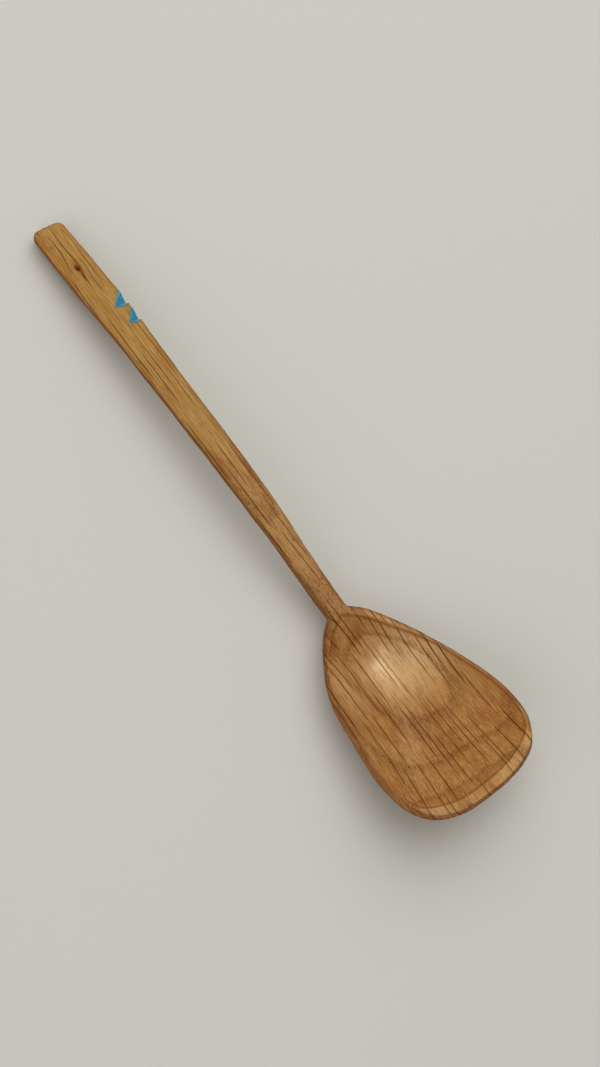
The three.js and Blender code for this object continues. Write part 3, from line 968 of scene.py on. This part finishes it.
def read_rays(tree, grain):
    """Adds the broad rays, faint where an outer wall runs along their plates, and the fine ones."""
    width = by_mask(tree, grain.in_bowl, *RAY_WIDTH)
    share = by_mask(tree, grain.left_wall, *RAY_SHARE)
    rays = use_group(tree, RAYS, Point=grain.wood, Share=share, Width=width)["Mask"]
    facing = tree.nodes.new("ShaderNodeNewGeometry").outputs["Normal"]
    facing = vector_step(tree, "DOT_PRODUCT", facing, ACROSS_PLATES)
    cut_across = ramp_between(tree, math_step(tree, "ABSOLUTE", facing), *PLATE_FACING)
    cut_across = math_step(tree, "MAXIMUM", cut_across, grain.hollow)
    grain.rays = times(tree, rays, cut_across)
    grain.fine_rays = use_group(tree, RAYS, Point=grain.wood, **FINE_RAYS)["Mask"]


print("broad rays are up to", 2 * RAY_WIDTH[1], "mm wide")

# %% [markdown]
# ## Oiled oak: the ground colour
# The colours go on like stains, from the ground up: golden wood that turns warmer towards the bowl, two
# pale patches of painted light round the sheen in the hollow, a dark left shoulder, a russet front, a tip
# painted pale as light on its land, russet patches, and the red outside, darkened as painted shade. One
# ramp of colours couldn't hold them, because each has its own place.

# %% Stains and patches
PATCH_EDGE = 1.35


def srgb(code):
    """A web colour code as the linear colour that shaders use."""
    parts = [int(code[i:i + 2], 16) / 255 for i in (1, 3, 5)]
    linear = [p / 12.92 if p <= 0.04045 else ((p + 0.055) / 1.055) ** 2.4 for p in parts]
    return (*linear, 1.0)


def lay_stains(tree, colour, stains):
    """Lays colours over a ground one after another, each where its mask says."""
    for mask, code in stains:
        colour = stain(tree, mask, colour, srgb(code))
    return colour


def soft_patch(tree, point, middle, reach, depth):
    """A patch with a soft edge round a middle, as deep in colour as depth says."""
    away = vector_step(tree, "SUBTRACT", point, middle)
    away = vector_step(tree, "LENGTH", per_mm(tree, away, *reach))
    return ramp_between(tree, away, PATCH_EDGE, 0.0, 0.0, depth)


print("white as a shader's colour:", srgb("#ffffff"))

# %% The ground colour
OAK_GOLD = "#b08645"
OAK_NECK = "#b58658"
OAK_WARM = "#b58146"
OAK_RUSSET = "#94531f"
OAK_PALE = "#d0a160"
PAINTED_GLOW = "#e8c086"
OUTER_RUSSET_AND_SHADE = "#7d4216"
# Two patches of painted light: the glow that spreads round the sheen onto the hollow's walls.
PAINTED_GLOW_PATCHES = (((58, 10, 9), (14, 14, 12), 0.95), ((55, -13, 9), (14, 8, 8), 0.35))
DARK_SHOULDER = ((43, -9, 11), (8, 5, 6), 0.6)
RUSSET_FRONT = (68, 88, 0.0, 0.16)
# The tip's land is painted paler, as painted light on the land that faces the lamp.
LIT_TIP_ALONG = (70, 100, 0.0, 0.5)
LIT_TIP_ACROSS = (-14, 2, 0.3, 1.0)
RUSSET_PATCHES = (0.45, 0.72, 0.0, 0.6)
OUTSIDE_DEPTH = 0.8


def painted_lit_tip(tree, grain):
    """The land at the tip, without the hollow and the outside, where light is painted on."""
    lit_tip = ramp_between(tree, grain.x, *LIT_TIP_ALONG)
    lit_tip = times(tree, lit_tip, ramp_between(tree, grain.y, *LIT_TIP_ACROSS))
    lit_tip = math_step(tree, "SUBTRACT", lit_tip, math_step(tree, "MAXIMUM", grain.hollow, grain.outside))
    return math_step(tree, "MAXIMUM", lit_tip, 0.0)


def ground_colour(tree, grain):
    """The wood's colour before its grain, with painted light in the hollow and on the tip, and painted
    shade outside.
    """
    light, painted_glow_too = (soft_patch(tree, grain.point, *patch) for patch in PAINTED_GLOW_PATCHES)
    front = ramp_between(tree, grain.x, *RUSSET_FRONT)
    return lay_stains(tree, srgb(OAK_GOLD), (
        (grain.in_bowl, OAK_NECK),
        (grain.hollow, OAK_WARM),
        # Painted light: the pale glow round the sheen on the hollow's walls.
        (times(tree, light, grain.hollow), PAINTED_GLOW),
        (times(tree, painted_glow_too, grain.hollow), PAINTED_GLOW),
        (soft_patch(tree, grain.point, *DARK_SHOULDER), OUTER_RUSSET_AND_SHADE),
        (times(tree, front, grain.hollow), OAK_RUSSET),
        # Painted light on the tip's land.
        (painted_lit_tip(tree, grain), OAK_PALE),
        (ramp_between(tree, grain.patches, *RUSSET_PATCHES), OAK_RUSSET),
        # The outside: redder wood, darkened further as painted shade on walls and edges.
        (times(tree, grain.outside, OUTSIDE_DEPTH), OUTER_RUSSET_AND_SHADE),
    ))


print("ground from", OAK_GOLD, "to", OAK_WARM)

# %% [markdown]
# ## Oiled oak: the grain's stains
# Over the ground go pale and dark fibres, specks, the early wood of each ring, fine rays, pores, and last
# the broad rays, the stain round the knot with its swirl, and the line of painted shade under the rim.
# The order matters: a ray runs through everything else, so it has to come late.

# %% The grain's stains
OAK_EARLY = "#7a4719"
OAK_PORE = "#5e300b"
OAK_RAY = "#5e2f08"
PALE_FIBRES = (0.5, 0.68, 0.0, 0.5)
DARK_FIBRES = (0.5, 0.32, 0.0, 0.35)
DARK_SPECKS = (0.5, 0.3, 0.0, 0.16)
EARLY_DEPTH = 0.36
FINE_RAY_DEPTH = (0.3, 0.5)
NECK_DEPTH = 0.2
PORE_DEPTH = (0.7, 0.5)
DASH_DEPTH = 0.4
RAY_DEPTH = (0.85, 0.88)
KNOT_STAIN = (0.35, 0.9, 0.0, 0.45)
SWIRL_DEPTH = 0.75
RIM_SHADE_DEPTH = 0.7


def grain_colour(tree, grain, ground):
    """The ground with every line of the grain on it, and the painted shade under the rim."""
    return lay_stains(tree, ground, (
        (ramp_between(tree, grain.fibres, *PALE_FIBRES), OAK_PALE),
        (ramp_between(tree, grain.fibres, *DARK_FIBRES), OAK_EARLY),
        (ramp_between(tree, grain.specks, *DARK_SPECKS), OAK_EARLY),
        (times(tree, grain.early, EARLY_DEPTH), OAK_EARLY),
        (times(tree, grain.fine_rays, by_mask(tree, grain.in_bowl, *FINE_RAY_DEPTH)), OAK_RAY),
        (times(tree, grain.at_neck, NECK_DEPTH), OAK_EARLY),
        (times(tree, grain.pores, by_mask(tree, grain.hollow, *PORE_DEPTH)), OAK_PORE),
        (times(tree, grain.dashes, DASH_DEPTH), OAK_PORE),
        (times(tree, grain.rays, by_mask(tree, grain.in_bowl, *RAY_DEPTH)), OAK_RAY),
        (ramp_between(tree, grain.near_knot, *KNOT_STAIN), OAK_RUSSET),
        (times(tree, grain.swirl, SWIRL_DEPTH), OAK_RAY),
        # Painted shade under the rim's land.
        (times(tree, stored(tree, "rim"), RIM_SHADE_DEPTH), OAK_EARLY),
    ))


print("rays in", OAK_RAY)

# %% [markdown]
# ## Oiled oak: oil and relief
# Oiled wood is dull by itself, and the oil shines where it was rubbed. A glossier wood would shine all
# over, so the oil is a coat of its own: strong where the hollow is burnished, weak on the rays, pores and
# outside, which drink it, and broken into streaks along the grain. Pores and fibres are also slightly
# deep, which only a bump can show at this size.

# %% Oil and relief
WOOD_GLOSS = 0.06
WOOD_ROUGHNESS = (0.3, 0.7, 0.62, 0.5)
OIL_SPREAD = 0.3
OIL_INDEX = 1.5
OIL_KEPT = (1.0, 0.1)
STREAK_SIZE = (16, 0.55, 2)
OIL_STREAKS = (0.35, 0.65, 0.5, 1.0)


def oil_wood(tree, shader, grain):
    """Dull wood under a coat of oil that shines where the hollow was rubbed."""
    feed(tree, shader["Roughness"], ramp_between(tree, grain.fibres, *WOOD_ROUGHNESS))
    shader["Specular IOR Level"].default_value = WOOD_GLOSS
    thirsty = math_step(tree, "MAXIMUM", grain.rays, grain.pores)
    thirsty = math_step(tree, "MAXIMUM", thirsty, grain.outside)
    streaks = soft_noise(tree, grain.wood, STREAK_SIZE, detail=1.0)[0]
    oil = by_mask(tree, thirsty, *OIL_KEPT)
    oil = times(tree, oil, ramp_between(tree, streaks, *OIL_STREAKS))
    feed(tree, shader["Coat Weight"], times(tree, stored(tree, "burnish"), oil))
    shader["Coat Roughness"].default_value = OIL_SPREAD
    shader["Coat IOR"].default_value = OIL_INDEX


def add_relief(tree, shader, height, strength, depth):
    """Lets a height that changes over the surface catch the light."""
    bump = tree.nodes.new("ShaderNodeBump")
    bump.inputs["Strength"].default_value = strength
    bump.inputs["Distance"].default_value = depth
    feed(tree, bump.inputs["Height"], height)
    feed(tree, shader["Normal"], bump.outputs[0])


print("oil index:", OIL_INDEX)

# %% Oak material
FIBRE_HEIGHT = 0.6
GRAIN_STRENGTH = 0.5
GRAIN_RELIEF = 0.05 * MM


def new_material(name):
    """A material with a bare shader. Gives the material, its node tree and the shader's inputs."""
    material = bpy.data.materials.new(name)
    material.use_nodes = True
    tree = material.node_tree
    return material, tree, tree.nodes["Principled BSDF"].inputs


def make_oak():
    """Oak with its grain, oil and relief."""
    material, tree, shader = new_material("oiled oak")
    grain = read_place(tree)
    read_rings(tree, grain)
    read_fibres(tree, grain)
    read_rays(tree, grain)
    feed(tree, shader["Base Color"], grain_colour(tree, grain, ground_colour(tree, grain)))
    oil_wood(tree, shader, grain)
    height = math_step(tree, "SUBTRACT", times(tree, grain.fibres, FIBRE_HEIGHT), grain.pores)
    add_relief(tree, shader, height, GRAIN_STRENGTH, GRAIN_RELIEF)
    return material


def dress(piece, material):
    """Gives a piece its one material."""
    piece.data.materials.clear()
    piece.data.materials.append(material)


dress(spoon, make_oak())
print("oak on", spoon.name, "with", len(spoon.active_material.node_tree.nodes), "nodes")

# %% [markdown]
# ## The knot's wood
# A twig cut across shows its own rings round a dark pith, and this one's dark eye is shaped like a
# diamond. A round gradient would give a round eye. The distance across plus the distance along gives the
# diamond, noise makes it uneven, and the same distance turns the edge back to the russet of the spoon.

# %% Knot material
KNOT_BROWN = "#8c4c1c"
KNOT_DARK = "#582405"
KNOT_EYE = KNOT_MIDDLE / MM + Vector((0.25, -0.1, 0))
KNOT_RINGS = 3.0
KNOT_GRAIN = (0.7, 0.7, 0.7)
KNOT_UNEVEN = 0.7
DARK_EYE = (1.45, 0.8)
DARK_RINGS = (0.2, 1.0, 0.0, 0.4)
RUSSET_EDGE = (1.4, 1.7)
KNOT_ROUGHNESS = (0.3, 0.7, 0.5, 0.7)
KNOT_GLOSS = 0.05
KNOT_STRENGTH = 0.6
KNOT_RELIEF = 0.05 * MM


def make_knot_wood():
    """The twig's end grain."""
    material, tree, shader = new_material("knot wood")
    size = (KNOT_HIGH - KNOT_LOW) / MM
    from_eye = vector_step(tree, "SUBTRACT", object_point(tree), tuple(KNOT_EYE))
    uneven = soft_noise(tree, from_eye, KNOT_GRAIN, detail=3.0)[0]
    share = vector_step(tree, "ABSOLUTE", per_mm(tree, from_eye, size.x / 2, size.y / 2, 1.0))
    reach = vector_step(tree, "DOT_PRODUCT", share, (1, 1, 0))
    reach = math_step(tree, "ADD", reach, times(tree, uneven, KNOT_UNEVEN))
    waves = math_step(tree, "SINE", times(tree, reach, KNOT_RINGS * 2 * math.pi))
    colour = lay_stains(tree, srgb(KNOT_BROWN), (
        (ramp_between(tree, reach, *DARK_EYE), KNOT_DARK),
        (ramp_between(tree, waves, *DARK_RINGS), KNOT_DARK),
        (ramp_between(tree, reach, *RUSSET_EDGE), OAK_RUSSET),
    ))
    feed(tree, shader["Base Color"], colour)
    feed(tree, shader["Roughness"], ramp_between(tree, uneven, *KNOT_ROUGHNESS))
    shader["Specular IOR Level"].default_value = KNOT_GLOSS
    add_relief(tree, shader, uneven, KNOT_STRENGTH, KNOT_RELIEF)
    return material


dress(knot, make_knot_wood())
print("knot wood on", knot.name)

# %% [markdown]
# ## Blue paint in the chip cuts
# The coats are already solids of the right shape, so they keep it. The paint is thin and matt. A small
# brush leaves streaks along the cut and the coat covers unevenly. The steep face where the knife was
# stopped is painted lighter, as painted light on the face that the lamp catches. A flat blue would look
# like plastic, so noise and the face's direction mix three blues.

# %% Paint material
PAINT_BLUE = "#3490ad"
PAINT_DEEP = "#2a7893"
PAINT_THIN_AND_LIT = "#74bdd0"
BRUSH_SIZE = (0.5, 2.5, 1.2)
COVER_SIZE = (1.3, 1.3, 1.3)
DEEP_COVER = (0.4, 0.65, 0.0, 0.8)
THIN_STREAKS = (0.52, 0.7, 0.0, 0.5)
LIT_STOP_FACE = (-0.3, -0.6, 0.0, 0.8)
PAINT_ROUGHNESS = (0.3, 0.7, 0.55, 0.75)
PAINT_GLOSS = 0.25
BRUSH_STRENGTH = 0.5
BRUSH_RELIEF = 0.03 * MM


def make_paint():
    """Thin matt paint with the streaks of a small brush."""
    material, tree, shader = new_material("milk paint")
    point = object_point(tree)
    streaks = soft_noise(tree, point, BRUSH_SIZE)[0]
    cover = soft_noise(tree, point, COVER_SIZE, detail=3.0)[0]
    facing = split(tree, tree.nodes.new("ShaderNodeNewGeometry").outputs["Normal"])[0]
    colour = lay_stains(tree, srgb(PAINT_BLUE), (
        (ramp_between(tree, cover, *DEEP_COVER), PAINT_DEEP),
        (ramp_between(tree, streaks, *THIN_STREAKS), PAINT_THIN_AND_LIT),
        # The steep stop face gets a lighter blue: painted light where the lamp catches it.
        (ramp_between(tree, facing, *LIT_STOP_FACE), PAINT_THIN_AND_LIT),
    ))
    feed(tree, shader["Base Color"], colour)
    feed(tree, shader["Roughness"], ramp_between(tree, cover, *PAINT_ROUGHNESS))
    shader["Specular IOR Level"].default_value = PAINT_GLOSS
    add_relief(tree, shader, streaks, BRUSH_STRENGTH, BRUSH_RELIEF)
    return material


milk_paint = make_paint()
for node in PAINT_NODES:
    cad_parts[node].material_slots[0].material = milk_paint
print("paint on", PAINT_NODES)

# %% [markdown]
# ## The table
# The spoon could hang in empty space, but then it would cast no shadow. A plain pale table takes its
# shadow and keeps the eye on the wood. It isn't part of the spoon.

# %% Floor
FLOOR_SIZE = 8.0
FLOOR_GREY = "#d1cfc6"
FLOOR_ROUGHNESS = 0.8


def make_floor():
    """A wide matt plane under the spoon."""
    bpy.ops.object.select_all(action="DESELECT")
    bpy.ops.mesh.primitive_plane_add(size=FLOOR_SIZE)
    floor = bpy.context.active_object
    floor.name = "floor"
    material, _, shader = new_material("pale table")
    shader["Base Color"].default_value = srgb(FLOOR_GREY)
    shader["Roughness"].default_value = FLOOR_ROUGHNESS
    dress(floor, material)
    return floor


print("floor in m:", make_floor().dimensions.x)

# %% [markdown]
# ## The light
# One soft window would light the spoon, but its size sets both the shadows and the sheen. Two lights share
# these tasks: a broad key that only lights the wood, and a long narrow warm light that shows only as the
# sheen in the hollow. A weak fill from the other side lifts the right wall, and a dim room does the rest.

# %% Key and sheen
KEY_FROM = Vector((-0.3, 0.3, 0.91))
KEY_DISTANCE = 1.2
KEY_SIZE = (1.5, 1.5)
KEY_POWER = 11.0
SHEEN_FROM = Vector((-0.12, 0.16, 0.97))
SHEEN_DISTANCE = 1.1
SHEEN_SIZE = (0.22, 3.0)
SHEEN_POWER = 27.0
SHEEN_COLOUR = (1.0, 0.93, 0.64)


def add_soft_light(name, direction, distance, size, power):
    """An area light that faces the bowl, its size given along the spoon and across it."""
    bpy.ops.object.light_add(type="AREA", location=CAMERA_TARGET + direction.normalized() * distance)
    light = bpy.context.active_object
    light.name = name
    light.data.shape = "RECTANGLE"
    light.data.size, light.data.size_y = size
    light.data.energy = power
    light.rotation_euler = direction.to_track_quat("Z", "Y").to_euler()
    return light


key = add_soft_light("key", KEY_FROM, KEY_DISTANCE, KEY_SIZE, KEY_POWER)
key.visible_glossy = False
sheen = add_soft_light("sheen", SHEEN_FROM, SHEEN_DISTANCE, SHEEN_SIZE, SHEEN_POWER)
sheen.data.color = SHEEN_COLOUR
sheen.visible_diffuse = False
print("lights:", key.name, KEY_POWER, "W,", sheen.name, SHEEN_POWER, "W")

# %% Fill and room
FILL_FROM = Vector((0.15, -0.8, 0.6))
FILL_DISTANCE = 1.3
FILL_SIZE = (1.4, 1.0)
FILL_POWER = 4.0
SKY_COLOUR = (1, 1, 1, 1)
SKY_STRENGTH = 0.3

fill = add_soft_light("fill", FILL_FROM, FILL_DISTANCE, FILL_SIZE, FILL_POWER)
world = bpy.data.worlds.new("soft room")
world.use_nodes = True
sky = world.node_tree.nodes["Background"].inputs
sky["Color"].default_value = SKY_COLOUR
sky["Strength"].default_value = SKY_STRENGTH
bpy.context.scene.world = world
bpy.context.scene.view_settings.view_transform = "Standard"
print("lights:", fill.name, FILL_POWER, "W, room", SKY_STRENGTH)
